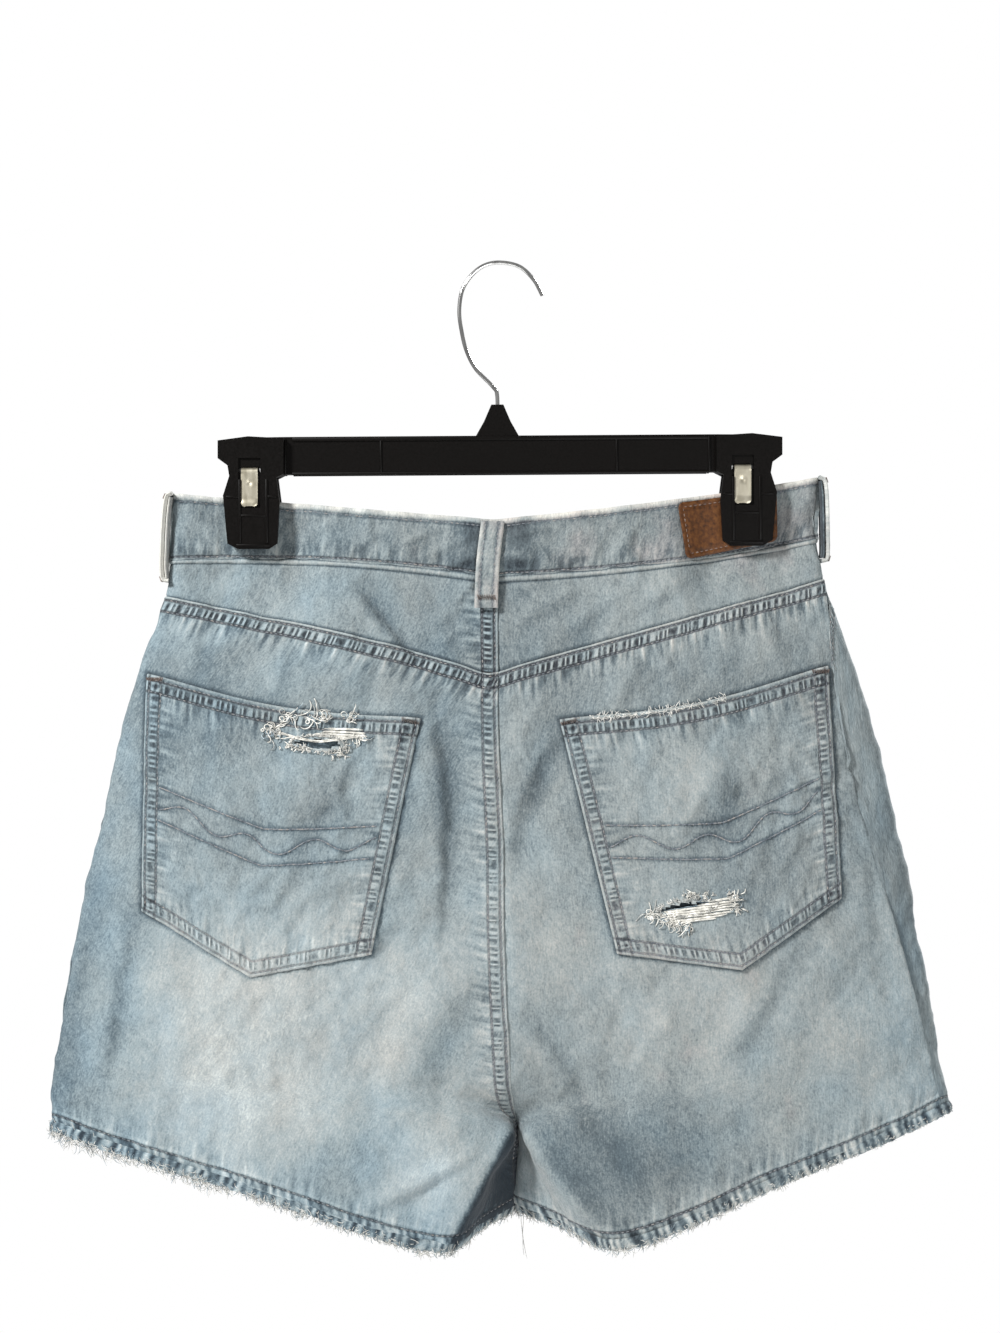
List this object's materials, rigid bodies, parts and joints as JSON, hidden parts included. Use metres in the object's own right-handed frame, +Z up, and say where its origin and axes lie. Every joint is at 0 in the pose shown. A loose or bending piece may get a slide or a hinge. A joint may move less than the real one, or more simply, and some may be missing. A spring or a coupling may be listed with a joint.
{
  "type": "denim shorts on a clip hanger",
  "caption": "High-waisted denim shorts with frayed hems, back pockets and belt loops, hung by the waistband from a clip hanger with a wire hook.",
  "frame": {"origin": "inner top of the hanger's hook, where a rail carries it", "axes": "+Z up, -Y out of the wearer's back, +X towards the wearer's right"},
  "size_m": [0.5075, 0.0542, 0.5598],
  "materials": {
    "denim": "light blue washed cotton twill",
    "fray": "loose cream cotton yarn",
    "leather": "smooth brown leather",
    "button_metal": "aged brass",
    "black_plastic": "moulded black",
    "spring_steel": "bright rolled strip",
    "hook_wire": "bright plated wire"
  },
  "bodies": {
    "root": {"back_left": "denim", "back_right": "denim", "yoke_left": "denim", "yoke_right": "denim", "front_left": "denim", "front_right": "denim", "pocket_facing_left": "denim", "pocket_facing_right": "denim", "waistband_back": "denim", "waistband_front_left": "denim", "waistband_front_right": "denim", "loop_centre": "denim", "loop_side_left": "denim", "loop_side_right": "denim", "loop_front_left": "denim", "loop_front_right": "denim", "back_pocket_left": "denim", "back_pocket_right": "denim", "fly_placket": "denim", "hem_fringe_left": "fray", "hem_fringe_right": "fray", "leather_patch": "leather", "waist_button": "button_metal", "hanger_bar": "black_plastic", "clip_jaw_left": "black_plastic", "clip_jaw_right": "black_plastic", "clip_spring_left": "spring_steel", "clip_spring_right": "spring_steel", "hanger_hook": "hook_wire"}
  },
  "joints": []
}
